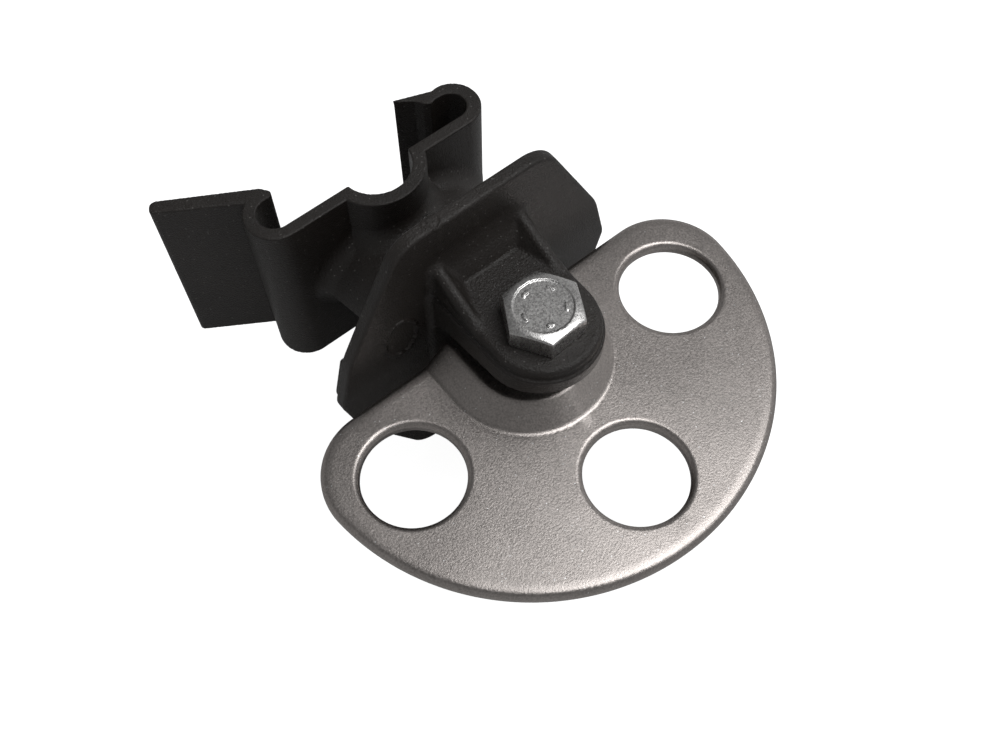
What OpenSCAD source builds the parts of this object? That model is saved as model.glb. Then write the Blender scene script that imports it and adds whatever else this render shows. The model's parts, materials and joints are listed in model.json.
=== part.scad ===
// Roof anchor: a moulded clip grips a roof rail and carries a steel plate with three connector holes.
// The plate swivels on a bolt held between the two ears of the moulding.
// Sizes are in millimetres. +Z runs along the rail and the bolt, +X along the shield.
// +Y points from the plate towards the rail. The origin is the middle of the rail saddle.

/* [Rail clip] */
// length of the clip along the rail
clip_len = 54.4; // [30:0.2:90]
// wall thickness around the saddle
clip_wall = 3.6; // [2:0.1:5]
// inner radius of the saddle that takes the rail's round bead
saddle_r = 8.9; // [5:0.1:14]
// how far the flat seats lie in front of the saddle centre
seat_drop = 1.2; // [0.5:0.1:2]
// wall thickness of the flat seats
seat_wall = 3.4; // [2.5:0.1:4]
// inner radius of the short hook
short_hook_r = 4.5; // [4.3:0.1:4.7]
// inner radius of the long hook
long_hook_r = 4; // [3.8:0.1:4.2]
// how far the long hook's outer round lies beyond its inner one
long_hook_lead = 0.5; // [0.3:0.1:0.6]
// distance from the saddle centre to the short hook's centre
short_hook_x = 26.7; // [18:0.1:40]
// distance from the saddle centre to the long hook's centre
long_hook_x = 25.1; // [24:0.1:26]
// length of the release wing
wing_len = 26.2; // [10:0.2:45]
// thickness of the release wing
wing_wall = 3.6; // [3:0.1:4]
// angle of the release wing above the seats
wing_angle = 30.4; // [10:0.1:60]

/* [Bracket] */
// distance from the saddle centre to the bolt axis, across the rail
pivot_reach = 59.2; // [40:0.1:90]
// sideways offset of the bolt axis from the saddle centre
pivot_side = 2.6; // [-10:0.1:10]
// half width of the neck between clip and shield, out to its two side edges
neck_half_w = 25; // [18:0.5:30]
// half height of the neck at its middle
neck_half_h = 15.5; // [8:0.5:17]
// distance from the bolt axis to the front of the shield
shield_y = 22.8; // [18:0.1:35]
// thickness of the shield
shield_wall = 3.6; // [2:0.1:6]
// half height of the shield
shield_half_h = 47.9; // [40:0.1:70]
// half width of the shield at its two side corners
shield_half_w = 41.5; // [38.5:0.1:44]
// half width of the shield where its sides bend
shield_bend_w = 37.6; // [35.5:0.1:41]
// height of that bend above the middle
shield_bend_h = 15.5; // [10:0.5:25]
// half width of the shield at its top edge
shield_top_w = 20.7; // [16:0.1:28]
// radius of the shield's side corners
shield_side_r = 5; // [1:0.5:10]
// radius of the bends in the shield's sides
shield_bend_r = 25; // [5:0.5:40]
// radius of the shield's top corners
shield_top_r = 9.5; // [2:0.5:15]
// depth of the stiffening band behind the shield
band_depth = 2; // [1:0.1:5]
// half height of the stiffening band
band_half_h = 12.5; // [5:0.5:20]

/* [Ears] */
// radius of the ear's lower rim
ear_r = 14.1; // [10:0.1:20]
// radius of the ear above its step
ear_top_r = 13.4; // [9:0.1:19]
// height of the ear's outer face above the middle
ear_half_h = 28; // [18:0.1:40]
// height of the step around the ear
ear_step_z = 25; // [15:0.1:38]
// radius of the rounded edge on the ear
ear_round = 1.5; // [0.5:0.1:3]
// half height of the mouth at the ear tips
mouth_tip_h = 20.5; // [10:0.1:30]
// half height of the mouth where its corner starts
mouth_root_h = 15.8; // [8:0.1:25]
// radius of the mouth's inner corners
mouth_r = 8.7; // [2:0.1:14]
// half distance between the faces that hold the sleeve
boss_z = 16.8; // [12:0.1:20]
// radius of the bosses inside the ears
boss_r = 9; // [7:0.1:12]
// height of a rib above the ear at the shield
rib_rise = 7; // [2:0.1:12]
// length of a rib along the ear
rib_len = 14.8; // [6:0.1:20]
// width of a rib at its crest
rib_w = 2.7; // [1.5:0.1:5]

/* [Plate] */
// thickness of the plate
plate_wall = 4; // [2:0.1:8]
// height of the plate's flat underside above the middle
plate_z = 1.6; // [-5:0.1:8]
// radius of the plate's curved edge
plate_r = 59.4; // [40:0.1:80]
// distance from the bolt axis to the centre of the curved edge
plate_arc_y = 4.5; // [-5:0.1:15]
// distance from the bolt axis to the straight edge
plate_back_y = 17.9; // [10:0.1:21]
// radius of the plate's two corners
plate_corner_r = 17; // [5:0.1:19]
// radius of the three connector holes
hole_r = 12.35; // [6:0.05:20]
// radius of the circle the holes lie on
hole_ring_r = 40.7; // [25:0.1:50]
// distance from the bolt axis to the centre of that circle
hole_ring_y = 6.28; // [0:0.02:12]
// angle from the middle hole to a side hole
hole_angle = 77; // [50:0.5:90]
// height of the pressed hub
hub_rise = 5; // [1:0.1:8]
// radius of the hub's top
hub_top_r = 14.8; // [10:0.1:20]
// radius of the hub's foot
hub_foot_r = 20.8; // [14:0.1:28]
// distance from the bolt axis to the middle of the hub
hub_y = 4.8; // [0:0.1:10]

/* [Pivot hardware] */
// radius of the bolt
bolt_r = 5; // [3:0.5:8]
// width of the hexagons across their flats
hex_af = 17; // [10:0.5:24]
// height of the bolt head
head_h = 6.4; // [3:0.1:10]
// length of the bolt under its head
bolt_len = 70; // [50:1:90]
// outer radius of the pivot sleeve
sleeve_r = 7; // [6:0.1:9]
// gap between the turning plate and the sleeve
running_gap = 0.08; // [0.02:0.01:0.1]
// radius of the upper collar
upper_collar_r = 9; // [8:0.1:12]
// radius of the lower collar's flange
lower_collar_r = 10.5; // [8.5:0.1:12]
// radius of the lower collar's neck, which reaches up into the hub
lower_neck_r = 8.1; // [7.6:0.1:8.2]
// radius of the washer under the nut
washer_r = 10; // [8:0.1:12]
// thickness of the washer under the nut
washer_t = 2; // [1:0.1:3]
// height of the nut's hexagon
nut_hex_h = 8; // [5:0.1:12]
// height of the nut's locking collar
nut_collar_h = 2; // [1:0.1:4]

/* [Hidden] */
$fn = 96;
seat_y = -seat_drop;
front_y = seat_y - seat_wall;
short_hook_y = short_hook_r + seat_y;
short_hook_out_r = short_hook_y - front_y;
long_hook_y = long_hook_r + seat_y;
long_hook_out_r = long_hook_y - front_y - 0.1;
long_out_x = long_hook_x + long_hook_lead;
saddle_out_r = saddle_r + clip_wall;
wing_dir = [-cos(wing_angle), sin(wing_angle)];
wing_nrm = [-sin(wing_angle), -cos(wing_angle)];
wing_root = [1.03 - short_hook_x, 11.64];
wing_tip = wing_root + wing_dir * wing_len;
wing_front = wing_root + wing_nrm * wing_wall + wing_dir * 2.5;
bolt_hole_r = bolt_r + 0.25;
plate_top_z = plate_z + plate_wall;
hub_top_z = plate_top_z + hub_rise;
hub_under_z = plate_z + hub_rise;
hub_slope = atan(hub_rise / (hub_foot_r - hub_top_r));
hub_inset = plate_wall * tan(hub_slope / 2);
corner_y = plate_back_y - plate_corner_r;
corner_x = sqrt(pow(plate_r - plate_corner_r, 2) - pow(plate_arc_y - corner_y, 2));
corner_dir = [corner_x, corner_y - plate_arc_y] / (plate_r - plate_corner_r);
nut_z = -ear_half_h - washer_t;
rib_slope = atan(rib_rise / rib_len);
nylon_r = bolt_r + 1.4;
// rounds stand this far proud of their flats, so that the two always cross
proud = 0.004;
// hollow corners are cut this much deeper, so that they end in a clean edge on the shield's plane
overcut = 0.06;
shield_back_y = shield_y + shield_wall;
// radius of the two arcs of the lens-shaped neck
neck_r = (pow(neck_half_w, 2) + pow(neck_half_h, 2)) / (2 * neck_half_h);
// round pads on the shield's top and bottom edges
pad_x = -10.6;
pad_inset = 2.1;
pad_len = 9;
pad_r = 2.3;
// length and height of the slope between an ear and the shield
root_len = 4.3;
root_rise = 6.5;

function unit(v) = v / norm(v);
function back_dir(p, i) = unit(p[(i + len(p) - 1) % len(p)] - p[i]);
function fore_dir(p, i) = unit(p[(i + 1) % len(p)] - p[i]);
function half_turn(p, i) = acos(back_dir(p, i) * fore_dir(p, i)) / 2;
function cut_len(p, r, i) = r[i] / tan(half_turn(p, i));
function round_mid(p, r, i) = p[i] + unit(back_dir(p, i) + fore_dir(p, i)) * r[i] / sin(half_turn(p, i));

// outline with a round of its own radius at each corner, or a sharp corner where the radius is 0
module rounded_outline(p, r) {
    polygon([
        for (i = [0 : len(p) - 1])
            each r[i] == 0
                ? [p[i]]
                : [p[i] + back_dir(p, i) * cut_len(p, r, i), p[i] + fore_dir(p, i) * cut_len(p, r, i)]
    ]);
    for (i = [0 : len(p) - 1])
        if (r[i] > 0) translate(round_mid(p, r, i)) circle(r[i] + proud);
}

// moves a part drawn about the bolt axis into the common frame
module at_pivot() {
    translate([pivot_side, -pivot_reach, 0]) children();
}

// the same thing above and below the middle
module both_faces() {
    children();
    mirror([0, 0, 1]) children();
}

// the same thing on the left and on the right
module both_sides() {
    children();
    mirror([1, 0, 0]) children();
}

// round of the short hook, on the wing side
module short_hook_outline() {
    difference() {
        translate([-short_hook_x, short_hook_y]) circle(short_hook_out_r);
        translate([-short_hook_x, short_hook_y]) circle(short_hook_r);
        translate([-short_hook_x, short_hook_y - 20]) square([40, 40]);
    }
}

// release wing, ending in the short hook's lip
module wing_outline() {
    rounded_outline(
        [
            [-short_hook_x, short_hook_y + short_hook_r], [2 - short_hook_x, short_hook_y + short_hook_r],
            [2.7 - short_hook_x, 9.4], wing_root, wing_tip, wing_tip + wing_nrm * wing_wall, wing_front,
            [-short_hook_x - 0.6, short_hook_y + short_hook_r + 1.2]
        ],
        [0, 0.6, 0.9, 1.2, 1.6, 1.2, 0, 0]
    );
}

// long hook with the toothed lip that catches behind the rail
module long_hook_outline() {
    difference() {
        translate([long_out_x, front_y + long_hook_out_r]) circle(long_hook_out_r);
        translate([long_hook_x, long_hook_y]) circle(long_hook_r);
        translate([long_hook_x - 40, long_hook_y - 20]) square([40, 40]);
    }
    translate([long_hook_x, long_hook_y])
        polygon([
            [1.3, 5.7], [0.8, 6.8], [-0.4, 6.8], [-10.1, 10.5], [-10.3, 10.1], [-9.5, 9.4],
            [-6.1, 6.9], [-4.7, 4.7], [-3.3, 3.55], [-1.7, 4.1], [0, long_hook_r], [0.9, long_hook_r + 0.8]
        ]);
}

// seats and saddle between the hooks
module saddle_outline() {
    difference() {
        union() {
            translate([-short_hook_x, front_y]) square([short_hook_x + long_out_x, seat_wall]);
            intersection() {
                circle(saddle_out_r);
                translate([-20, -20]) square([40, 20 + seat_y]);
            }
        }
        circle(saddle_r);
    }
}

// spring clip of constant section along the rail
module rail_clip() {
    color([0.09, 0.085, 0.08])
        translate([0, 0, -clip_len / 2])
            linear_extrude(clip_len) {
                saddle_outline();
                short_hook_outline();
                wing_outline();
                long_hook_outline();
            }
}

// outline of the shield, symmetric both ways
module shield_outline() {
    rounded_outline(
        [
            [shield_half_w, 0], [shield_bend_w, shield_bend_h],
            [shield_top_w, shield_half_h], [-shield_top_w, shield_half_h],
            [-shield_bend_w, shield_bend_h], [-shield_half_w, 0], [-shield_bend_w, -shield_bend_h],
            [-shield_top_w, -shield_half_h], [shield_top_w, -shield_half_h],
            [shield_bend_w, -shield_bend_h]
        ],
        [
            shield_side_r, shield_bend_r, shield_top_r, shield_top_r, shield_bend_r,
            shield_side_r, shield_bend_r, shield_top_r, shield_top_r, shield_bend_r
        ]
    );
}

// lens-shaped space that the neck takes between the shield and the clip
module neck_space() {
    translate([0, pivot_reach + front_y, 0])
        rotate([90, 0, 0])
            linear_extrude(pivot_reach + front_y - shield_back_y)
                intersection() {
                    translate([0, neck_half_h - neck_r]) circle(neck_r);
                    translate([0, neck_r - neck_half_h]) circle(neck_r);
                }
}

// neck joining the shield to the front of the clip, hollowed where the saddle's wall lies
module neck_block() {
    color([0.1, 0.095, 0.09])
        at_pivot()
            difference() {
                neck_space();
                translate([-pivot_side, pivot_reach, -neck_half_h - 1])
                    cylinder(h = 2 * neck_half_h + 2, r = saddle_out_r);
            }
}

// stiffening band behind the shield, on both sides of the neck
module stiffening_band() {
    difference() {
        translate([0, shield_back_y + band_depth, 0])
            rotate([90, 0, 0])
                linear_extrude(band_depth + 0.5)
                    intersection() {
                        shield_outline();
                        translate([-60, -band_half_h]) square([120, 2 * band_half_h]);
                    }
        neck_space();
    }
}

// shield with its stiffening band and two moulding pads
module shield_plate() {
    color([0.1, 0.095, 0.09])
        at_pivot() {
            translate([0, shield_back_y, 0])
                rotate([90, 0, 0])
                    linear_extrude(shield_wall) shield_outline();
            stiffening_band();
            both_faces()
                translate([pad_x, shield_y + pad_inset, shield_half_h - pad_len])
                    cylinder(h = pad_len, r = pad_r);
        }
}

// half section of the upper ear before the mouth is cut
module ear_half_section() {
    square([ear_r, ear_step_z]);
    square([ear_top_r, ear_half_h - ear_round]);
    square([ear_top_r - ear_round, ear_half_h]);
    translate([ear_top_r - ear_round, ear_half_h - ear_round]) circle(ear_round);
}

// side view of the mouth between the ears
module mouth_outline() {
    polygon([
        [-20, mouth_tip_h + 1], [shield_y - mouth_r, mouth_root_h],
        [shield_y - mouth_r, -mouth_root_h], [-20, -mouth_tip_h - 1]
    ]);
    translate([shield_y - mouth_r - 0.5, mouth_r - mouth_root_h])
        square([mouth_r + 1.5, 2 * (mouth_root_h - mouth_r)]);
    translate([shield_y - mouth_r, mouth_root_h - mouth_r]) circle(mouth_r + overcut);
}

// rib that runs from the shield down onto the ear
module rib() {
    intersection() {
        translate([0, shield_y + 1, ear_half_h + rib_rise + tan(rib_slope)])
            rotate([90 + rib_slope, 0, 0])
                linear_extrude(rib_len + 6) {
                    polygon([
                        [ear_top_r - rib_w, -rib_w / 2], [ear_top_r, -rib_w / 2], [ear_top_r, -8],
                        [6.8, -8], [ear_top_r - rib_w - 0.3, -rib_w / 2 - 0.5]
                    ]);
                    translate([ear_top_r - rib_w / 2, -rib_w / 2]) circle(rib_w / 2);
                }
        translate([0, 2, ear_half_h - 2]) cube([ear_r, shield_y - 2, 20]);
    }
}

// slope between the ear's outer face and the shield
module root_slope() {
    translate([-ear_top_r + rib_w / 2, 0, 0])
        rotate([90, 0, 90])
            linear_extrude(2 * ear_top_r - rib_w)
                polygon([
                    [shield_y - root_len - 1, ear_half_h - 1], [shield_y - root_len, ear_half_h],
                    [shield_y, ear_half_h + root_rise], [shield_y, ear_half_h - 1]
                ]);
}

// ear above the middle, from its round tip to the shield, with its inner boss and two ribs
module ear() {
    difference() {
        union() {
            difference() {
                union() {
                    rotate_extrude() ear_half_section();
                    translate([0, shield_y, 0])
                        rotate([90, 0, 0])
                            linear_extrude(shield_y) both_sides() ear_half_section();
                }
                translate([-20, 0, 0])
                    rotate([90, 0, 90])
                        linear_extrude(40) mouth_outline();
            }
            translate([0, 0, boss_z]) cylinder(h = 6, r = boss_r);
            both_sides() rib();
            root_slope();
        }
        translate([0, 0, -1]) cylinder(h = ear_half_h + 2, r = bolt_hole_r);
    }
}

// ear under the bolt head
module upper_ear() {
    color([0.1, 0.095, 0.09]) at_pivot() ear();
}

// ear over the nut
module lower_ear() {
    color([0.1, 0.095, 0.09]) at_pivot() mirror([0, 0, 1]) ear();
}

// flat outline of the plate
module plate_outline() {
    intersection() {
        translate([0, plate_arc_y]) circle(plate_r);
        polygon([
            [0, plate_arc_y], [0, plate_arc_y] + corner_dir * 90, [90, -90], [-90, -90],
            [-corner_dir[0] * 90, plate_arc_y + corner_dir[1] * 90]
        ]);
    }
    translate([corner_x, corner_y]) circle(plate_corner_r);
    translate([-corner_x, corner_y]) circle(plate_corner_r);
    polygon([
        [-corner_x, plate_back_y], [-corner_x, corner_y], [0, plate_arc_y - 1],
        [corner_x, corner_y], [corner_x, plate_back_y]
    ]);
}

// pressed hub shape: a cone end and straight flanks out to the straight edge
module hub_solid(foot, top, low, high) {
    translate([0, hub_y, low])
        cylinder(h = high - low, r1 = foot, r2 = top);
    translate([0, plate_back_y, low])
        rotate([90, 0, 0])
            linear_extrude(plate_back_y - hub_y)
                polygon([[-foot, 0], [foot, 0], [top, high - low], [-top, high - low]]);
}

// steel plate with three connector holes and a pressed hub
module anchor_plate() {
    color([0.56, 0.53, 0.51])
        at_pivot()
            difference() {
                union() {
                    translate([0, 0, plate_z]) linear_extrude(plate_wall) plate_outline();
                    intersection() {
                        hub_solid(hub_foot_r, hub_top_r, plate_top_z, hub_top_z);
                        translate([-40, -40, 0]) cube([80, 40 + plate_back_y, 20]);
                    }
                }
                intersection() {
                    hub_solid(hub_foot_r - hub_inset, hub_top_r - hub_inset, plate_z, hub_under_z);
                    translate([-40, -40, 0]) cube([80, 41 + plate_back_y, 20]);
                }
                translate([0, 0, -1]) cylinder(h = 20, r = sleeve_r + running_gap);
                for (a = [-hole_angle, 0, hole_angle])
                    translate([hole_ring_r * sin(a), hole_ring_y - hole_ring_r * cos(a), -1])
                        cylinder(h = 20, r = hole_r);
            }
}

// hexagonal prism with its corners turned down at one end
module hex_body(h, af) {
    intersection() {
        cylinder(h = h, r = af / sqrt(3), $fn = 6);
        rotate_extrude()
            polygon([
                [0, 0], [af / 2 + 2, 0], [af / 2 + 2, h - 1.45], [af / 2 - 0.55, h], [0, h]
            ]);
    }
}

// hexagon-head bolt that clamps the ears on the sleeve
module pivot_bolt() {
    color([0.74, 0.73, 0.72])
        at_pivot() {
            translate([0, 0, ear_half_h]) rotate([0, 0, 2]) hex_body(head_h, hex_af);
            translate([0, 0, ear_half_h - bolt_len])
                rotate_extrude()
                    polygon([[0, 0], [bolt_r - 1, 0], [bolt_r, 1], [bolt_r, bolt_len + 0.5], [0, bolt_len + 0.5]]);
        }
}

// ring about the bolt axis
module ring(low, high, inner, outer) {
    at_pivot()
        translate([0, 0, low])
            difference() {
                cylinder(h = high - low, r = outer);
                translate([0, 0, -1]) cylinder(h = high - low + 2, r = inner);
            }
}

// steel sleeve the plate turns on
module pivot_sleeve() {
    color([0.62, 0.6, 0.58]) ring(-boss_z, boss_z, bolt_r + 0.2, sleeve_r);
}

// plastic collar between the plate's hub and the upper ear
module upper_collar() {
    color([0.12, 0.115, 0.11]) ring(hub_top_z + 0.1, boss_z, sleeve_r + 0.1, upper_collar_r);
}

// plastic collar between the plate's hub and the lower ear, with a narrower neck inside the hub
module lower_collar() {
    color([0.12, 0.115, 0.11]) {
        ring(-boss_z, plate_z - 0.4, sleeve_r + 0.1, lower_collar_r);
        ring(-boss_z, hub_under_z - 0.1, sleeve_r + 0.1, lower_neck_r);
    }
}

// flat washer under the nut
module lower_washer() {
    color([0.7, 0.69, 0.68]) ring(-ear_half_h - washer_t, -ear_half_h, bolt_hole_r, washer_r);
}

// lock nut with its hexagon against the washer
module lock_nut() {
    color([0.7, 0.69, 0.68])
        at_pivot()
            translate([0, 0, nut_z])
                difference() {
                    union() {
                        mirror([0, 0, 1]) hex_body(nut_hex_h, hex_af);
                        translate([0, 0, -nut_hex_h - nut_collar_h])
                            cylinder(h = nut_hex_h, r = hex_af / 2 - 1.2);
                    }
                    translate([0, 0, -20]) cylinder(h = 21, r = bolt_r + 0.05);
                    translate([0, 0, -nut_hex_h - nut_collar_h - 1])
                        cylinder(h = nut_collar_h + 1, r = nylon_r);
                }
}

// nylon ring held in the nut's collar
module nut_insert() {
    color([0.86, 0.86, 0.82])
        ring(nut_z - nut_hex_h - nut_collar_h + 0.2, nut_z - nut_hex_h, bolt_r + 0.05, nylon_r);
}

rail_clip();
neck_block();
shield_plate();
upper_ear();
lower_ear();
anchor_plate();
pivot_bolt();
pivot_sleeve();
upper_collar();
lower_collar();
lower_washer();
lock_nut();
nut_insert();
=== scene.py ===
import json
import math
import bpy
import bmesh
import numpy as np
from mathutils import Matrix, Vector


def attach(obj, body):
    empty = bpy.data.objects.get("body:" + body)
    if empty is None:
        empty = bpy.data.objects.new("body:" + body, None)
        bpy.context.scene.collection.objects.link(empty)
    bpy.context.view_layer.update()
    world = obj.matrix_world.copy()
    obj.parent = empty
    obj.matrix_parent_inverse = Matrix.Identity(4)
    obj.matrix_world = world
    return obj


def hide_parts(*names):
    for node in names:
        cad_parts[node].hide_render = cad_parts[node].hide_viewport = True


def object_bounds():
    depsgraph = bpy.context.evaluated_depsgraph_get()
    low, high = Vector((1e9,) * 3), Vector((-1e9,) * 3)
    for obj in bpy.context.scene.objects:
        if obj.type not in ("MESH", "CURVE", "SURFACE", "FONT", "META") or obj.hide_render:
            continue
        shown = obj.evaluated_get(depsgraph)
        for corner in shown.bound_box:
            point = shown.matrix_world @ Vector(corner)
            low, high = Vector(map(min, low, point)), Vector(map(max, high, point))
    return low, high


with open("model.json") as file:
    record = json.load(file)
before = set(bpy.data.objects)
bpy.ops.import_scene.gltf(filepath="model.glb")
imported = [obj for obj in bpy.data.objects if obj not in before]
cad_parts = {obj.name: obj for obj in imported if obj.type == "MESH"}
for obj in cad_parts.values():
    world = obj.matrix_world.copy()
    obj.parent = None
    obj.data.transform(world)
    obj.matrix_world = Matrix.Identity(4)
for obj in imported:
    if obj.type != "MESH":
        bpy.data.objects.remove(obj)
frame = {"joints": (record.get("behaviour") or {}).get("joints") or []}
CAD_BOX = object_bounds()
MM = 0.001
# the bolt axis, in mm
PIVOT = [v / MM for v in frame["joints"][0]["pos_m"]]
COARSE = 1.0

# ---------------------------------------------------------------- camera
IMAGE_W, IMAGE_H = 1000, 750
SENSOR_MM = 36.0
FOCAL, CENTRE_U, CENTRE_V = 1122.112, 474.840, 356.256      # in thousandths of the image width
TURN = np.array([2.504618, -0.881483, 0.204036])            # rotation vector
SHIFT = np.array([15.3619, 5.6103, 271.5584])               # mm, seen from the camera
angle = float(np.linalg.norm(TURN))
k = TURN / angle
cross = np.array([[0, -k[2], k[1]], [k[2], 0, -k[0]], [-k[1], k[0], 0]])
R = np.eye(3) + math.sin(angle) * cross + (1 - math.cos(angle)) * cross @ cross
eye = -R.T @ SHIFT + np.array(PIVOT)
cam_data = bpy.data.cameras.new("camera")
cam_data.sensor_width = SENSOR_MM
cam_data.lens = FOCAL / IMAGE_W * SENSOR_MM
cam_data.shift_x = (IMAGE_W / 2 - CENTRE_U) / IMAGE_W
cam_data.shift_y = (CENTRE_V - IMAGE_H / 2) / IMAGE_W
cam_data.clip_start = 0.01
cam_data.clip_end = 20
cam = bpy.data.objects.new("camera", cam_data)
bpy.context.scene.collection.objects.link(cam)
M = Matrix.Identity(4)
for r in range(3):
    M[r][0], M[r][1], M[r][2], M[r][3] = R[0][r], -R[1][r], -R[2][r], eye[r] * MM
cam.matrix_world = M
bpy.context.scene.camera = cam


# ---------------------------------------------------------------- distance fields, in mm about the bolt axis
def hyp(a, b):
    return np.sqrt(a * a + b * b)


def smin(a, b, r):
    """Union with a fillet of radius r."""
    return np.maximum(r, np.minimum(a, b)) - hyp(np.maximum(r - a, 0), np.maximum(r - b, 0))


def smax(a, b, r):
    """Intersection with a round of radius r."""
    return -smin(-a, -b, r)


def cut(a, b, r):
    """a without b, with a round of radius r along the edge."""
    return -smin(-a, b, r)


class Outline:
    """Distance to a closed outline, sampled on a fine lattice and read by interpolation."""

    def __init__(self, pts, step=0.1, pad=6.0):
        pts = np.array(pts, float)
        self.lo = pts.min(0) - pad
        self.step = step
        n = np.ceil((pts.max(0) + pad - self.lo) / step).astype(int) + 2
        u = (self.lo[0] + step * np.arange(n[0]))[:, None]
        v = (self.lo[1] + step * np.arange(n[1]))[None, :]
        best = np.full((n[0], n[1]), 1e9)
        inside = np.zeros((n[0], n[1]), bool)
        for i in range(len(pts)):
            a, b = pts[i], pts[i - 1]
            ex, ey = b - a
            wx, wy = u - a[0], v - a[1]
            t = np.clip((wx * ex + wy * ey) / (ex * ex + ey * ey + 1e-12), 0, 1)
            best = np.minimum(best, (wx - t * ex) ** 2 + (wy - t * ey) ** 2)
            if a[1] != b[1]:
                inside ^= ((v >= a[1]) != (v >= b[1])) & (u < a[0] + (v - a[1]) * ex / ey)
        self.d = np.where(inside, -1, 1) * np.sqrt(best)

    def __call__(self, u, v):
        n = self.d.shape
        gu, gv = (u - self.lo[0]) / self.step, (v - self.lo[1]) / self.step
        cu, cv = np.clip(gu, 0, n[0] - 1.001), np.clip(gv, 0, n[1] - 1.001)
        iu, iv = cu.astype(int), cv.astype(int)
        fu, fv = cu - iu, cv - iv
        d = self.d
        near = d[iu, iv] * (1 - fu) + d[iu + 1, iv] * fu
        far = d[iu, iv + 1] * (1 - fu) + d[iu + 1, iv + 1] * fu
        return near * (1 - fv) + far * fv + hyp((gu - cu) * self.step, (gv - cv) * self.step)


def arc(cx, cy, r, a0, a1, n=24):
    """n points on an arc from angle a0 to a1, in degrees."""
    a = np.radians(np.linspace(a0, a1, n))
    return [(cx + r * math.cos(t), cy + r * math.sin(t)) for t in a]


def rounded(pts, radii, n=10):
    """The outline pts with a round of its own radius at each corner."""
    out = []
    m = len(pts)
    for i in range(m):
        p = np.array(pts[i], float)
        if radii[i] <= 0:
            out.append(tuple(p))
            continue
        a = np.array(pts[i - 1], float) - p
        b = np.array(pts[(i + 1) % m], float) - p
        a /= np.linalg.norm(a)
        b /= np.linalg.norm(b)
        half = math.acos(max(-1, min(1, float(a @ b)))) / 2
        cutl = radii[i] / math.tan(half)
        mid = (a + b) / np.linalg.norm(a + b)
        c = p + mid * radii[i] / math.sin(half)
        s, e = p + a * cutl - c, p + b * cutl - c
        a0 = math.atan2(s[1], s[0])
        da = math.atan2(e[1], e[0]) - a0
        da = (da + math.pi) % (2 * math.pi) - math.pi
        for t in a0 + da * np.linspace(0, 1, n):
            out.append((c[0] + radii[i] * math.cos(t), c[1] + radii[i] * math.sin(t)))
    return out


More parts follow.
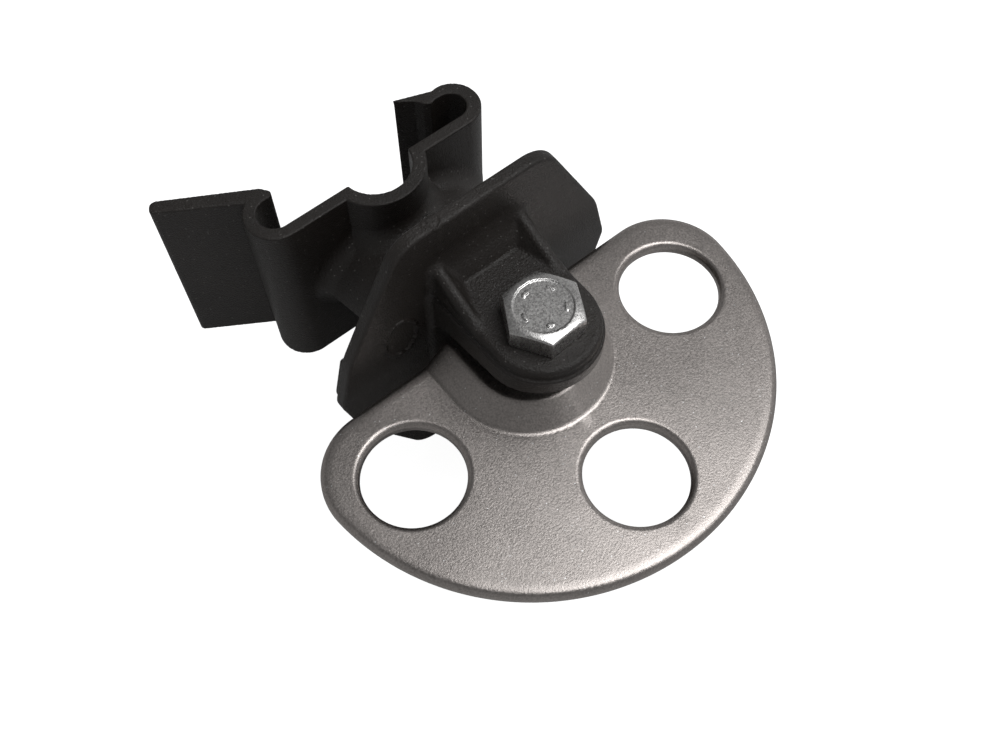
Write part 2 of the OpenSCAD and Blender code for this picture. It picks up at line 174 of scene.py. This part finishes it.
def net(name, fn, lo, hi, h, flat=0.35, relax=2):
    """A mesh of the zero surface of fn: a surface net whose points are then pulled onto the surface."""
    h *= COARSE
    n = [int(math.ceil((hi[i] - lo[i]) / h)) + 1 for i in range(3)]
    ax = [lo[i] + h * np.arange(n[i]) for i in range(3)]
    field = fn(ax[0][:, None, None], ax[1][None, :, None], ax[2][None, None, :])
    F = np.ascontiguousarray(np.broadcast_to(field, n), np.float32)
    S = F < 0
    total = np.zeros([m - 1 for m in n], np.int8)
    for i in (0, 1):
        for j in (0, 1):
            for l in (0, 1):
                total += S[i:n[0] - 1 + i, j:n[1] - 1 + j, l:n[2] - 1 + l]
    act = (total > 0) & (total < 8)
    cells = np.argwhere(act)
    ids = np.full(act.shape, -1, np.int32)
    ids[act] = np.arange(len(cells))
    acc = np.zeros((len(cells), 3))
    w = np.zeros(len(cells))
    for a in range(3):
        for p in (0, 1):
            for q in (0, 1):
                s = [0, 0, 0]
                s[(a + 1) % 3], s[(a + 2) % 3] = p, q
                e = list(s)
                e[a] = 1
                fa = F[cells[:, 0] + s[0], cells[:, 1] + s[1], cells[:, 2] + s[2]]
                fb = F[cells[:, 0] + e[0], cells[:, 1] + e[1], cells[:, 2] + e[2]]
                x = (fa < 0) != (fb < 0)
                t = np.where(x, fa / np.where(x, fa - fb, 1), 0)
                start, along = np.array(s, float), np.array(e, float) - np.array(s, float)
                pt = start[None, :] + t[:, None] * along[None, :]
                acc += np.where(x[:, None], pt, 0)
                w += x
    v = np.array(lo, float) + h * (cells + acc / w[:, None])
    quads = []
    for a in range(3):
        b, c = (a + 1) % 3, (a + 2) % 3
        sl0, sl1 = [slice(None)] * 3, [slice(None)] * 3
        sl0[a], sl1[a] = slice(0, -1), slice(1, None)
        x = S[tuple(sl0)] != S[tuple(sl1)]
        at = np.argwhere(x)
        keep = (at[:, b] > 0) & (at[:, c] > 0) & (at[:, b] < n[b] - 1) & (at[:, c] < n[c] - 1)
        at = at[keep]
        low = S[at[:, 0], at[:, 1], at[:, 2]]
        ring = []
        for db, dc in ((-1, -1), (0, -1), (0, 0), (-1, 0)):
            q = at.copy()
            q[:, b] += db
            q[:, c] += dc
            ring.append(ids[q[:, 0], q[:, 1], q[:, 2]])
        ring = np.stack(ring, 1)
        ring[~low] = ring[~low][:, ::-1]
        quads.append(ring)
    quads = np.vstack(quads)

    def grad(p):
        e = 0.012
        g = np.empty_like(p)
        for i in range(3):
            a, b = p.copy(), p.copy()
            a[:, i] += e
            b[:, i] -= e
            g[:, i] = (fn(a[:, 0], a[:, 1], a[:, 2]) - fn(b[:, 0], b[:, 1], b[:, 2])) / (2 * e)
        return g

    def settle(p, steps):
        for _ in range(steps):
            g = grad(p)
            d = fn(p[:, 0], p[:, 1], p[:, 2]) / np.maximum((g * g).sum(1), 0.05)
            p = p - g * np.clip(d, -h, h)[:, None]
        return p

    v = settle(v, 3)
    e = np.vstack([quads[:, [0, 1]], quads[:, [1, 2]], quads[:, [2, 3]], quads[:, [3, 0]]])
    for _ in range(relax):
        sumv, deg = np.zeros_like(v), np.zeros(len(v))
        for i, j in ((0, 1), (1, 0)):
            for c in range(3):
                sumv[:, c] += np.bincount(e[:, i], weights=v[e[:, j], c], minlength=len(v))
            deg += np.bincount(e[:, i], minlength=len(v))
        v = settle(v * 0.5 + 0.5 * sumv / deg[:, None], 1)
    v = settle(v, 1)
    mesh = bpy.data.meshes.new(name)
    mesh.from_pydata(v.tolist(), [], quads.tolist())
    if flat:
        bm = bmesh.new()
        bm.from_mesh(mesh)
        bmesh.ops.dissolve_limit(
            bm, angle_limit=math.radians(flat), verts=bm.verts[:], edges=bm.edges[:], delimit=set()
        )
        many = [q for q in bm.faces if len(q.verts) > 4]
        bmesh.ops.triangulate(bm, faces=many, quad_method="BEAUTY", ngon_method="BEAUTY")
        bm.to_mesh(mesh)
        bm.free()
    co = np.empty(len(mesh.vertices) * 3)
    mesh.vertices.foreach_get("co", co)
    co = co.reshape(-1, 3)
    g = grad(co)
    g /= np.linalg.norm(g, axis=1)[:, None]
    mesh.vertices.foreach_set("co", ((co + np.array(PIVOT)) * MM).ravel())
    mesh.polygons.foreach_set("use_smooth", np.ones(len(mesh.polygons), bool))
    mesh.update()
    mesh.normals_split_custom_set_from_vertices(g.tolist())
    ob = bpy.data.objects.new(name, mesh)
    bpy.context.scene.collection.objects.link(ob)
    print("net", name, len(cells), "->", len(mesh.vertices), len(mesh.polygons))
    return ob


# ---------------------------------------------------------------- the black moulding
SX, SY = -PIVOT[0], -PIVOT[1]          # saddle centre seen from the bolt axis
CLIP_HALF = 27.2                       # half length of the clip along the rail
SADDLE_R, SADDLE_OUT = 8.9, 12.5
SHORT_R, SHORT_OUT = 4.5, 7.9          # short hook, inner and outer radius
LONG_R, LONG_OUT = 4.0, 7.3            # long hook, inner and outer radius
WING_LEN, WING_WALL, WING_ANGLE = 26.2, 3.6, math.radians(30.4)
SADDLE_GAP = 7.7                       # the saddle opens this many degrees short of a half turn
SADDLE_WALL_GAP = 21.6                 # the same on its outer side
front = SY - 4.6                       # front face of the seats
shx, shy = SX - 26.7, SY + 3.3
lhx, lhy = SX + 25.1, SY + 2.8
wd = np.array([-math.cos(WING_ANGLE), math.sin(WING_ANGLE)])
wn = np.array([-math.sin(WING_ANGLE), -math.cos(WING_ANGLE)])
root = np.array([shx + 1.03, SY + 11.64])
tip = root + wd * WING_LEN
wing = rounded(
    [
        (shx, shy + SHORT_R), (shx + 2.0, shy + SHORT_R), (shx + 2.7, SY + 9.4),
        root, tip, tip + wn * WING_WALL,
    ],
    [0, 0.6, 0.9, 1.2, 1.6, 1.2],
)
# the toothed lip of the long hook, from its centre
LIP = [
    (-1.7, 4.1), (-3.3, 3.55), (-4.7, 4.7), (-6.1, 6.9),
    (-9.5, 9.4), (-10.3, 10.1), (-10.1, 10.5), (-0.4, 6.85),
]
profile = arc(SX, SY, SADDLE_R, 180 + SADDLE_GAP, 360 - SADDLE_GAP, 30)
profile += arc(lhx, lhy, LONG_R, -90, 90, 24)
profile += [(lhx + u, lhy + v) for u, v in LIP]
profile += arc(lhx + 0.5, front + LONG_OUT, LONG_OUT, 92, -90, 30)
profile += arc(SX, SY, SADDLE_OUT, -SADDLE_WALL_GAP, -180 + SADDLE_WALL_GAP, 34)
profile += arc(shx, shy, SHORT_OUT, -90, -180, 20)
profile += arc(shx, shy, SHORT_OUT, -180, -237, 12)
profile += list(wing)[::-1]
profile += arc(shx, shy, SHORT_R, 90, 270, 24)
clip2 = Outline(profile, 0.08, 5)

# shield: its front face, then side corner, bend and top corner of its outline, and their radii
FACE_Y = 22.8
SHIELD_HALF = 1.8                      # half its thickness
JOIN_Y = 24.5                          # the ears run this deep into the shield
CORNERS = [(41.5, 0), (37.6, 15.5), (20.7, 47.75)]
SIDE_R, BEND_R, TOP_R = 5, 25, 9.5
upper_half = CORNERS + [(-x, z) for x, z in CORNERS[::-1]]
lower_half = [(x, -z) for x, z in upper_half[::-1] if z]
shield2 = Outline(
    rounded(upper_half + lower_half, [SIDE_R, BEND_R, TOP_R, TOP_R, BEND_R] * 2, 16), 0.12, 6
)
NECK_H = 15.5                          # half height of the neck
NECK_W, NECK_TAPER = 25.6, 0.16        # its half width at the clip, and how fast that shrinks
NECK_BACK, NECK_MID, NECK_HALF = 54.6, 40.65, 14.45
PAD_X, PAD_Y, PAD_R = -10.6, 24.9, 2.3
OVAL_X, OVAL_Z, OVAL_A, OVAL_B = -23.0, 14.5, 4.5, 6.8

# ears
EAR_R, EAR_TOP_R, EAR_HALF, EAR_STEP = 14.1, 13.4, 28.0, 25.0
MOUTH_R, MOUTH_Y, MOUTH_ROOT, MOUTH_TIP = 8.7, 14.1, 7.1, 23.2
RIB_RISE, RIB_LEN, RIB_R = 7.0, 14.8, 1.65
mouth2 = Outline(
    [(-30, MOUTH_TIP), (MOUTH_Y, MOUTH_ROOT + MOUTH_R)]
    + arc(MOUTH_Y, MOUTH_ROOT, MOUTH_R, 88, 0, 14) + arc(MOUTH_Y, -MOUTH_ROOT, MOUTH_R, 0, -88, 14)
    + [(MOUTH_Y, -MOUTH_ROOT - MOUTH_R), (-30, -MOUTH_TIP)],
    0.12, 6,
)
rise = math.atan2(RIB_RISE, RIB_LEN)
rib2 = Outline(arc(11.75, -1.6, RIB_R, 160, 0, 14) + [(EAR_TOP_R, -9), (4.2, -9)], 0.08, 5)


def neck_field(x, y, z):
    """Lens-shaped neck, a little narrower towards the shield."""
    half_w = NECK_W - NECK_TAPER * (NECK_BACK - y)
    r = (half_w ** 2 + NECK_H ** 2) / (2 * NECK_H)
    neck = smax(hyp(x, z + r - NECK_H) - r, hyp(x, z - r + NECK_H) - r, 0.5)
    return np.maximum(neck, np.abs(y - NECK_MID) - NECK_HALF)


def shield_field(x, y, z):
    """Shield with its stiffening band behind and its two round pads."""
    az = np.abs(z)
    flat = shield2(x, z)
    plate = smax(flat, np.abs(y - FACE_Y - SHIELD_HALF) - SHIELD_HALF, 0.75)
    rear = smax(smax(flat + 1.2, np.abs(y - 26.0) - 2.4, 0.7), az - 12.5, 0.6)
    plate = smin(plate, rear, 0.5)
    to_pad = hyp(x - PAD_X, y - PAD_Y)
    pads = smax(to_pad - PAD_R, np.abs(az - 43.25) - 4.6, 0.3)
    pads = cut(pads, smax(np.abs(to_pad - 1.5) - 0.4, 47.4 - az, 0.15), 0.15)
    return smin(plate, pads, 0.3)


def rib_field(ax_, y, az):
    """Rib that falls from the shield onto the ear."""
    over = (az - EAR_HALF - RIB_RISE + (FACE_Y - y) * RIB_RISE / RIB_LEN) * math.cos(rise)
    rib = np.maximum(np.maximum(rib2(ax_, over), y - JOIN_Y), 26.2 - az)
    return np.maximum(rib, 5.0 - y)


def ear_field(x, y, z):
    """Both ears, with the mouth between them, bosses, ribs and the slope at their root."""
    az, ax_ = np.abs(z), np.abs(x)
    capsule = hyp(x, np.minimum(y, 0))
    low = smax(capsule - EAR_R - 0.3 * np.clip(y, 0, 23) / 23, az - EAR_STEP, 0.5)
    top = smax(capsule - EAR_TOP_R, az - EAR_HALF, 1.5)
    ears = np.maximum(smin(low, top, 0.35), y - JOIN_Y)
    ears = cut(ears, mouth2(y, z), 0.6)
    boss = smax(hyp(x, y) - 9.0, np.abs(az - 19.8) - 3.0, 0.3)
    ears = smin(ears, boss, 0.7)
    slope = np.maximum(0.552 * (az - EAR_HALF) - 0.834 * (y - 18.5), ax_ - 11.6)
    slope = np.maximum(np.maximum(slope, y - JOIN_Y), np.abs(az - 31.5) - 5.0)
    ears = smin(ears, slope, 0.45)
    return smin(ears, rib_field(ax_, y, az), 0.9)


def moulding(x, y, z):
    """Clip, neck, shield and ears blended into one, with the bolt's hole."""
    az = np.abs(z)
    clip = smax(clip2(x, y), az - CLIP_HALF, 0.45)
    to_saddle = hyp(x - SX, y - SY)
    neck = np.maximum(neck_field(x, y, z), 10.6 - to_saddle)
    # the neck's fillet stays on the front of the clip
    body = np.where((y > 56.2) | (to_saddle < 10.7), clip, smin(clip, neck, 4.2))
    body = smin(body, shield_field(x, y, z), 3.0)
    # shallow oval recess with a thin raised rim, on the shield's face
    oval = (hyp((x - OVAL_X) / OVAL_A, (z - OVAL_Z) / OVAL_B) - 1) * OVAL_A
    body = cut(body, smax(oval, np.abs(y - 22.0) - 0.95, 0.1), 0.15)
    body = smin(body, smax(np.abs(oval) - 0.38, np.abs(y - 23.0) - 0.48, 0.15), 0.1)
    body = smin(body, ear_field(x, y, z), 1.8)
    # bolt hole
    return cut(body, np.maximum(hyp(x, y) - 5.25, y - 10), 0.3)


mould = net("moulding", moulding, (-56, -16, -49.4), (43.5, 88, 49.4), 0.55)
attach(mould, "bracket")
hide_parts("rail_clip", "neck_block", "shield_plate", "upper_ear", "lower_ear")

# ---------------------------------------------------------------- the steel plate
PLATE_MID, PLATE_HALF = 3.6, 2.0       # height of the plate's middle, half its thickness
PLATE_R, PLATE_ARC_Y = 59.4, 4.5
BACK_Y, CORNER_ROUND = 17.9, 17.0
HOLE_R, HOLE_RING_R, HOLE_RING_Y, HOLE_ANGLE = 12.35, 40.7, 6.28, 77
SLEEVE_HOLE_R = 7.08
HUB_Y, HUB_FOOT_R, HUB_FLANK, HUB_RISE = 4.8, 20.8, 6.0, 5.0
HUB_SOFT = 0.1                         # softness of the hub's foot and shoulder
DROOP, DROOP_W = 0.4, 3.4              # the blanked edge is drawn down a little on the upper face
EDGE_R = 1.5
INSET = 0.01                           # keeps the curved edge inside the plate's own box
corner_y = BACK_Y - CORNER_ROUND
corner_x = math.sqrt((PLATE_R - CORNER_ROUND) ** 2 - (PLATE_ARC_Y - corner_y) ** 2)
ca = math.degrees(math.atan2(corner_y - PLATE_ARC_Y, corner_x))
outer2 = Outline(
    arc(0, PLATE_ARC_Y + INSET, PLATE_R - INSET, 180 - ca, 360 + ca, 120)
    + arc(corner_x, corner_y, CORNER_ROUND, ca, 90, 24)
    + arc(-corner_x, corner_y, CORNER_ROUND, 90, 180 - ca, 24),
    0.15, 6,
)
HOLES = [
    (HOLE_RING_R * math.sin(math.radians(a)), HOLE_RING_Y - HOLE_RING_R * math.cos(math.radians(a)))
    for a in (-HOLE_ANGLE, 0, HOLE_ANGLE)
]


def soft_step(t):
    """0 below t = 0 and t above it, with a soft bend between."""
    bend = (t + HUB_SOFT) ** 2 / (4 * HUB_SOFT)
    return np.where(t < -HUB_SOFT, 0, np.where(t < HUB_SOFT, bend, t))


def hub(x, y):
    """Height of the pressed hub: a straight flank between a foot and a flat top."""
    d = np.where(y < HUB_Y, hyp(x, y - HUB_Y), np.abs(x))
    up = soft_step((HUB_FOOT_R - d) / HUB_FLANK)
    return HUB_RISE * (up - soft_step(up - 1))


def plate(x, y, z):
    """The sheet, raised at the hub, with three holes and the sleeve's hole."""
    zz = z - PLATE_MID - hub(x, y)
    rim = outer2(x, y)
    droop = DROOP * np.clip(1 + rim / DROOP_W, 0, 1) ** 2
    d = smax(rim, np.maximum(zz - PLATE_HALF + droop, -PLATE_HALF - zz), EDGE_R)
    for hx, hy in HOLES:
        d = cut(d, hyp(x - hx, y - hy) - HOLE_R, EDGE_R)
    return cut(d, hyp(x, y) - SLEEVE_HOLE_R, 0.4)


steel = net("plate_pressing", plate, (-61.5, -57, 0.2), (61.5, 20, 12.0), 0.6)
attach(steel, "plate")
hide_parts("anchor_plate")


# ---------------------------------------------------------------- bolt, nut, washer, sleeve and collars
HEX_AF = 17.0                          # across the flats of bolt head and nut
HEAD_MID, HEAD_HALF = 31.2, 3.2
CHAMFER_SIN, CHAMFER_COS = 0.309, 0.951       # the head's corners are cut at 18 degrees
DISH_R = 6.7                           # shallow dish in the head's face
MARKS, MARK_R = 5, 5.0                 # plain raised dashes in the dish
PITCH, THREAD_DEPTH, THREAD_TOP = 1.5, 0.42, -20
NUT_MID, NUT_HALF = -34.0, 4.0


def hexa(x, y, turn):
    """Distance to a hexagon turned by so many degrees."""
    d = -1e9
    for i in range(6):
        a = math.radians(turn + 30 + 60 * i)
        d = np.maximum(d, x * math.cos(a) + y * math.sin(a) - HEX_AF / 2)
    return d


def bolt(x, y, z):
    """Hexagon head with its dish and dashes, shank and thread."""
    rad = hyp(x, y)
    head = smax(hexa(x, y, 2.0), np.abs(z - HEAD_MID) - HEAD_HALF, 0.25)
    top = HEAD_MID + HEAD_HALF
    cone = (rad - 7.4) * CHAMFER_SIN + (z - top) * CHAMFER_COS
    head = smax(head, cone, 0.3)
    head = cut(head, smax(rad - DISH_R, top - 0.28 - z, 0.2), 0.25)
    for i in range(MARKS):
        a = math.radians(32 + 360 / MARKS * i)
        u, v = x * math.cos(a) + y * math.sin(a), -x * math.sin(a) + y * math.cos(a)
        dash = hyp(u - MARK_R, np.maximum(np.abs(v) - 0.6, 0)) - 0.36
        head = smin(head, smax(dash, np.abs(z - 33.9) - 0.5, 0.15), 0.15)
    t = (z / PITCH + np.arctan2(y, x) / (2 * math.pi)) % 1.0
    groove = THREAD_DEPTH * (np.abs(t - 0.5) * 2) * np.clip((THREAD_TOP - z) / 2, 0, 1)
    shank = smax(rad - 4.98 + groove, np.abs(z + 6.5) - 35.5, 0.3)
    # chamfered end of the thread
    shank = smax(shank, (rad - 4.2) * 0.707 - (z + 42.0) * 0.707, 0.2)
    return smin(head, shank, 0.3)


def nut(x, y, z):
    """Hexagon with a round collar below and the seat of the nylon ring."""
    rad = hyp(x, y)
    d = smax(hexa(x, y, 14.0), np.abs(z - NUT_MID) - NUT_HALF, 0.25)
    d = smax(d, (rad - 8.1) * 0.5 + (NUT_MID - NUT_HALF - z) * 0.866, 0.25)
    collar = smax(rad - 7.3, np.abs(z + 36.5) - 3.5, 0.9)
    d = smin(d, collar, 0.4)
    d = cut(d, rad - 5.05, 0.15)
    # seat of the nylon ring
    return cut(d, smax(rad - 6.4, z + 38.0, 0.1), 0.2)


bolt_ob = net("hex_bolt", bolt, (-10.6, -10.6, -43.0), (10.6, 10.6, 35.4), 0.3)
nut_ob = net("hex_nut", nut, (-10.6, -10.6, -41.0), (10.6, 10.6, -29.0), 0.3)


def lathe(name, pts, seg=128):
    """A ring turned from a closed half section of (radius, height) points in mm."""
    m = len(pts)
    co, faces = [], []
    for i in range(seg):
        a = 2 * math.pi * i / seg
        for r, z in pts:
            co.append(((r * math.cos(a) + PIVOT[0]) * MM, (r * math.sin(a) + PIVOT[1]) * MM, z * MM))
    for i in range(seg):
        j = (i + 1) % seg
        for p in range(m):
            q = (p + 1) % m
            faces.append((i * m + p, j * m + p, j * m + q, i * m + q))
    mesh = bpy.data.meshes.new(name)
    mesh.from_pydata(co, [], faces)
    mesh.polygons.foreach_set("use_smooth", np.ones(len(mesh.polygons), bool))
    mesh.update()
    ob = bpy.data.objects.new(name, mesh)
    bpy.context.scene.collection.objects.link(ob)
    return ob


def ring(name, r0, r1, z0, z1, e):
    """A plain ring with small rounded edges."""
    pts = rounded([(r0, z0), (r1, z0), (r1, z1), (r0, z1)], [e] * 4, 5)
    full = []
    for i, p in enumerate(pts):
        full.append(p)
        q = pts[(i + 1) % len(pts)]
        span = math.hypot(q[0] - p[0], q[1] - p[1])
        if span > 4 * e:
            # two more points near the ends keep a flat face flat beside its rounded edges
            d = ((q[0] - p[0]) / span, (q[1] - p[1]) / span)
            full.append((p[0] + d[0] * e * 0.4, p[1] + d[1] * e * 0.4))
            full.append((q[0] - d[0] * e * 0.4, q[1] - d[1] * e * 0.4))
    return lathe(name, full)


sleeve = ring("steel_sleeve", 5.2, 7.0, -16.8, 16.8, 0.25)
upper = ring("collar_upper", 7.1, 9.0, 10.7, 16.8, 0.4)
lower_section = [(7.1, -16.8), (10.5, -16.8), (10.5, 1.2), (8.1, 1.2), (8.1, 6.5), (7.1, 6.5)]
lower = lathe("collar_lower", rounded(lower_section, [0.3, 0.6, 0.6, 0.4, 0.3, 0.3], 5))
washer = ring("washer_low", 5.25, 10.0, -30.0, -28.0, 0.35)
insert = ring("nylon_ring", 5.05, 6.4, -39.8, -38.0, 0.3)
for ob, node, slot in (
    (bolt_ob, "pivot_bolt", "zinc_steel"),
    (nut_ob, "lock_nut", "zinc_steel"),
    (sleeve, "pivot_sleeve", "zinc_steel"),
    (upper, "upper_collar", "collar_plastic"),
    (lower, "lower_collar", "collar_plastic"),
    (washer, "lower_washer", "zinc_steel"),
    (insert, "nut_insert", "nylon"),
):
    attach(ob, "bracket")
    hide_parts(node)


# ---------------------------------------------------------------- materials
def material(name):
    """A new node material, its node tree and its shader."""
    m = bpy.data.materials.new(name)
    m.use_nodes = True
    nt = m.node_tree
    bsdf = nt.nodes["Principled BSDF"]
    return m, nt, bsdf


def node(nt, kind, **inputs):
    """A new node with values set on its inputs."""
    n = nt.nodes.new(kind)
    for key, val in inputs.items():
        n.inputs[key].default_value = val
    return n


def ramp(nt, src, stops):
    """Colour ramp through (position, colour) stops."""
    n = nt.nodes.new("ShaderNodeValToRGB")
    el = n.color_ramp.elements
    while len(el) < len(stops):
        el.new(0.5)
    for e, (p, c) in zip(el, stops):
        e.position = p
        e.color = (*c, 1) if len(c) == 3 else c
    nt.links.new(src, n.inputs[0])
    return n


def grey(v):
    return (v, v, v)


def shade(base, by):
    return tuple(min(1, b * by) for b in base)


def noise(nt, coord, scale, detail, rough):
    n = node(nt, "ShaderNodeTexNoise", Scale=scale, Detail=detail, Roughness=rough)
    nt.links.new(coord, n.inputs["Vector"])
    return n


def mathn(nt, op, a, b):
    n = nt.nodes.new("ShaderNodeMath")
    n.operation = op
    for i, v in enumerate((a, b)):
        if isinstance(v, (int, float)):
            n.inputs[i].default_value = v
        else:
            nt.links.new(v, n.inputs[i])
    return n.outputs[0]


def specks(nt, coord, scale, share, size):
    """A mask of tiny round specks: 1 inside a speck, 0 elsewhere."""
    cells = node(nt, "ShaderNodeTexVoronoi", Scale=scale)
    nt.links.new(coord, cells.inputs["Vector"])
    pick = nt.nodes.new("ShaderNodeSeparateColor")
    nt.links.new(cells.outputs["Color"], pick.inputs[0])
    chosen = mathn(nt, "GREATER_THAN", pick.outputs[0], 1.0 - share)
    near = mathn(nt, "LESS_THAN", cells.outputs["Distance"], size)
    return mathn(nt, "MULTIPLY", chosen, near)


def blend(nt, mode, fac, a, b):
    n = nt.nodes.new("ShaderNodeMix")
    n.data_type = "RGBA"
    n.blend_type = mode
    for i, v in ((0, fac), (6, a), (7, b)):
        if isinstance(v, (int, float, tuple)):
            n.inputs[i].default_value = v
        else:
            nt.links.new(v, n.inputs[i])
    return n.outputs[2]


def plastic(name, base, pebble, speck):
    """Moulded plastic: cloudy colour, dust specks and a pebbled surface."""
    m, nt, bsdf = material(name)
    tc = nt.nodes.new("ShaderNodeTexCoord").outputs["Object"]
    big = noise(nt, tc, 38, 4, 0.6)
    grain = noise(nt, tc, 2600, 3, 0.7)
    cells = node(nt, "ShaderNodeTexVoronoi", Scale=2000.0)
    nt.links.new(tc, cells.inputs["Vector"])
    col = ramp(nt, big.outputs["Fac"], [(0.3, shade(base, 0.75)), (0.7, shade(base, 1.35))])
    dust = specks(nt, tc, 1000, 0.16, 0.2)
    dusty = blend(nt, "MIX", dust, col.outputs[0], (speck, speck * 0.95, speck * 0.9, 1))
    nt.links.new(dusty, bsdf.inputs["Base Color"])
    rough = ramp(nt, grain.outputs["Fac"], [(0.3, grey(0.24)), (0.7, grey(0.44))])
    nt.links.new(rough.outputs[0], bsdf.inputs["Roughness"])
    hgt = mathn(nt, "ADD", mathn(nt, "MULTIPLY", cells.outputs["Distance"], 0.5), grain.outputs["Fac"])
    bump = node(nt, "ShaderNodeBump", Strength=pebble, Distance=0.00024)
    nt.links.new(hgt, bump.inputs["Height"])
    nt.links.new(bump.outputs[0], bsdf.inputs["Normal"])
    bsdf.inputs["Specular IOR Level"].default_value = 0.5
    return m


def metal(name, base, rough0, rough1, grain_scale, bump_s, spots=0.0):
    """Bare or zinc-plated steel: cloudy tone, fine grain and, if spots is given, bright specks."""
    m, nt, bsdf = material(name)
    tc = nt.nodes.new("ShaderNodeTexCoord").outputs["Object"]
    cloud = noise(nt, tc, 45, 4, 0.6)
    grain = noise(nt, tc, grain_scale, 3, 0.65)
    col = ramp(nt, cloud.outputs["Fac"], [(0.3, shade(base, 0.86)), (0.7, shade(base, 1.1))])
    fine = ramp(nt, grain.outputs["Fac"], [(0.3, grey(0.74)), (0.7, grey(1.2))])
    tone = blend(nt, "MULTIPLY", 1.0, col.outputs[0], fine.outputs[0])
    if spots:
        tone = blend(nt, "MIX", specks(nt, tc, 1000, 0.14, 0.16), tone, (spots, spots, spots, 1))
    nt.links.new(tone, bsdf.inputs["Base Color"])
    rg = ramp(nt, grain.outputs["Fac"], [(0.25, grey(rough0)), (0.75, grey(rough1))])
    nt.links.new(rg.outputs[0], bsdf.inputs["Roughness"])
    bump = node(nt, "ShaderNodeBump", Strength=bump_s, Distance=0.00008)
    nt.links.new(grain.outputs["Fac"], bump.inputs["Height"])
    nt.links.new(bump.outputs[0], bsdf.inputs["Normal"])
    bsdf.inputs["Metallic"].default_value = 1.0
    return m


m_black = plastic("black_moulding", (0.0215, 0.018, 0.0157), 0.75, 0.12)
m_collar = plastic("collar_plastic", (0.03, 0.028, 0.027), 0.15, 0.05)
m_nylon = plastic("nylon", (0.7, 0.69, 0.63), 0.1, 0.6)
m_plate = metal("plate_steel", (0.49, 0.453, 0.432), 0.28, 0.40, 2200, 0.6, 0.78)
m_zinc = metal("zinc_steel", (0.72, 0.71, 0.70), 0.2, 0.38, 1900, 0.35)
for ob, m in (
    (mould, m_black), (steel, m_plate), (bolt_ob, m_zinc), (nut_ob, m_zinc), (sleeve, m_zinc),
    (upper, m_collar), (lower, m_collar), (washer, m_zinc), (insert, m_nylon),
):
    ob.data.materials.clear()
    ob.data.materials.append(m)

# ---------------------------------------------------------------- floor and light
FLOOR_HALF, FLOOR_GAP = 4.0, 0.0006    # metres
FLOOR_GLOW = 0.93                      # seen by the camera only, so that it lights nothing
floor_mesh = bpy.data.meshes.new("floor")
s, fz = FLOOR_HALF, CAD_BOX[0].z - FLOOR_GAP
floor_mesh.from_pydata([(-s, -s, fz), (s, -s, fz), (s, s, fz), (-s, s, fz)], [], [(0, 1, 2, 3)])
floor = bpy.data.objects.new("floor", floor_mesh)
bpy.context.scene.collection.objects.link(floor)
fm, fnt, fb = material("floor_white")
fb.inputs["Base Color"].default_value = (0.6, 0.6, 0.6, 1)
fb.inputs["Roughness"].default_value = 0.9
fb.inputs["Specular IOR Level"].default_value = 0.0
fb.inputs["Emission Color"].default_value = (1, 1, 1, 1)
seen = fnt.nodes.new("ShaderNodeLightPath").outputs["Is Camera Ray"]
fnt.links.new(mathn(fnt, "MULTIPLY", seen, FLOOR_GLOW), fb.inputs["Emission Strength"])
floor_mesh.materials.append(fm)

world = bpy.data.worlds.new("world")
world.use_nodes = True
bpy.context.scene.world = world
wt = world.node_tree
back = wt.nodes["Background"]
gen = wt.nodes.new("ShaderNodeTexCoord")
sep = wt.nodes.new("ShaderNodeSeparateXYZ")
wt.links.new(gen.outputs["Generated"], sep.inputs[0])
# lighter near the horizon than overhead, and lighter on the right
sky_stops = [(0.0, grey(0.30)), (0.35, grey(0.24)), (0.75, grey(0.14)), (1.0, grey(0.14))]
sky = ramp(wt, sep.outputs[2], sky_stops)
wt.links.new(sky.outputs[0], back.inputs[0])
side = mathn(wt, "POWER", mathn(wt, "MAXIMUM", sep.outputs[0], 0.0), 2.0)
wt.links.new(mathn(wt, "ADD", 1.0, mathn(wt, "MULTIPLY", 0.9, side)), back.inputs[1])
# the camera itself sees plain white behind the part
white = wt.nodes.new("ShaderNodeBackground")
white.inputs[0].default_value = (1, 1, 1, 1)
white.inputs[1].default_value = 1.0
path = wt.nodes.new("ShaderNodeLightPath")
mix = wt.nodes.new("ShaderNodeMixShader")
wt.links.new(path.outputs["Is Camera Ray"], mix.inputs[0])
wt.links.new(back.outputs[0], mix.inputs[1])
wt.links.new(white.outputs[0], mix.inputs[2])
wt.links.new(mix.outputs[0], wt.nodes["World Output"].inputs[0])


def area(name, target, direction, dist, size, power, size_y=None):
    """Rectangular lamp at a distance from its target, facing it."""
    d = bpy.data.lights.new(name, "AREA")
    d.energy = power
    d.shape = "RECTANGLE"
    d.size = size
    d.size_y = size_y or size
    ob = bpy.data.objects.new(name, d)
    v = Vector(direction).normalized()
    ob.location = Vector(target) + v * dist
    ob.rotation_mode = "QUATERNION"
    ob.rotation_quaternion = (-v).to_track_quat("-Z", "Y")
    bpy.context.scene.collection.objects.link(ob)
    return ob


MIDDLE = (0.0, -0.055, 0.0)
LAMP_DIST = 0.9
area("key", MIDDLE, (0.27, -0.18, 0.945), LAMP_DIST, 0.44, 2.9, 0.5)
area("rim", MIDDLE, (0.32, -0.60, 0.73), LAMP_DIST, 0.2, 0.4)
bpy.context.scene.view_settings.view_transform = "Standard"
